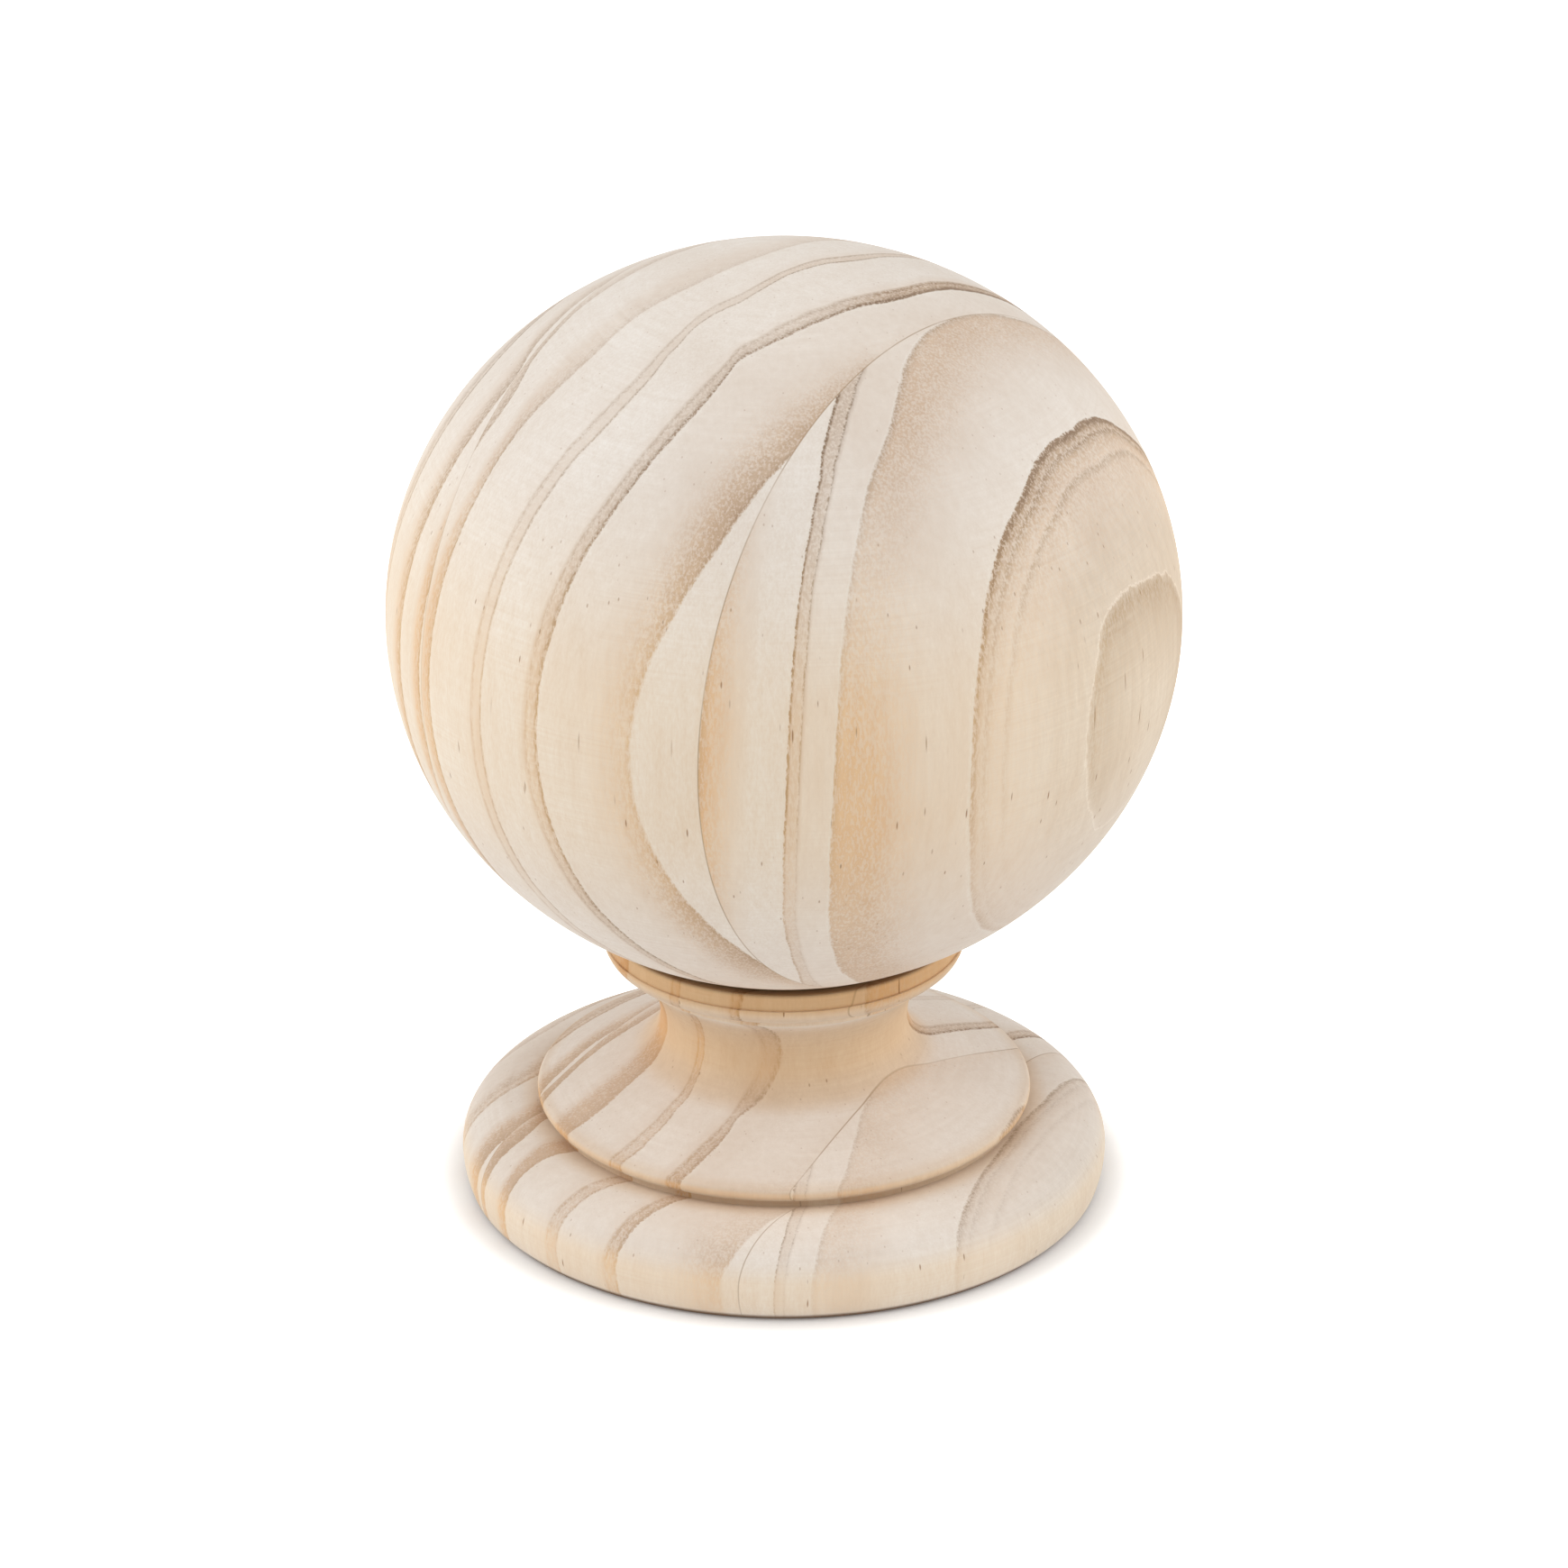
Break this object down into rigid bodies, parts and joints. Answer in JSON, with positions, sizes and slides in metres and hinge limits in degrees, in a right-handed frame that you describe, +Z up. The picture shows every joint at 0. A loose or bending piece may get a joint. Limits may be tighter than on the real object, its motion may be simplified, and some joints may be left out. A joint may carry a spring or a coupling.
{
  "type": "ball top post cap",
  "caption": "Turned wooden post cap: a flattened ball on a banded collar and waisted neck, above a sloping lipped shoulder and a rounded rim, with a blind screw pilot underneath.",
  "frame": {"origin": "centre of the flat underside that rests on the post", "axes": "+Z up along the turning axis, towards the ball; X and Y lie in the underside"},
  "size_m": [0.108, 0.108, 0.1357],
  "materials": {
    "pine": "bare sanded softwood, dry and matt"
  },
  "bodies": {
    "root": {"turned_cap": "pine"}
  },
  "joints": []
}
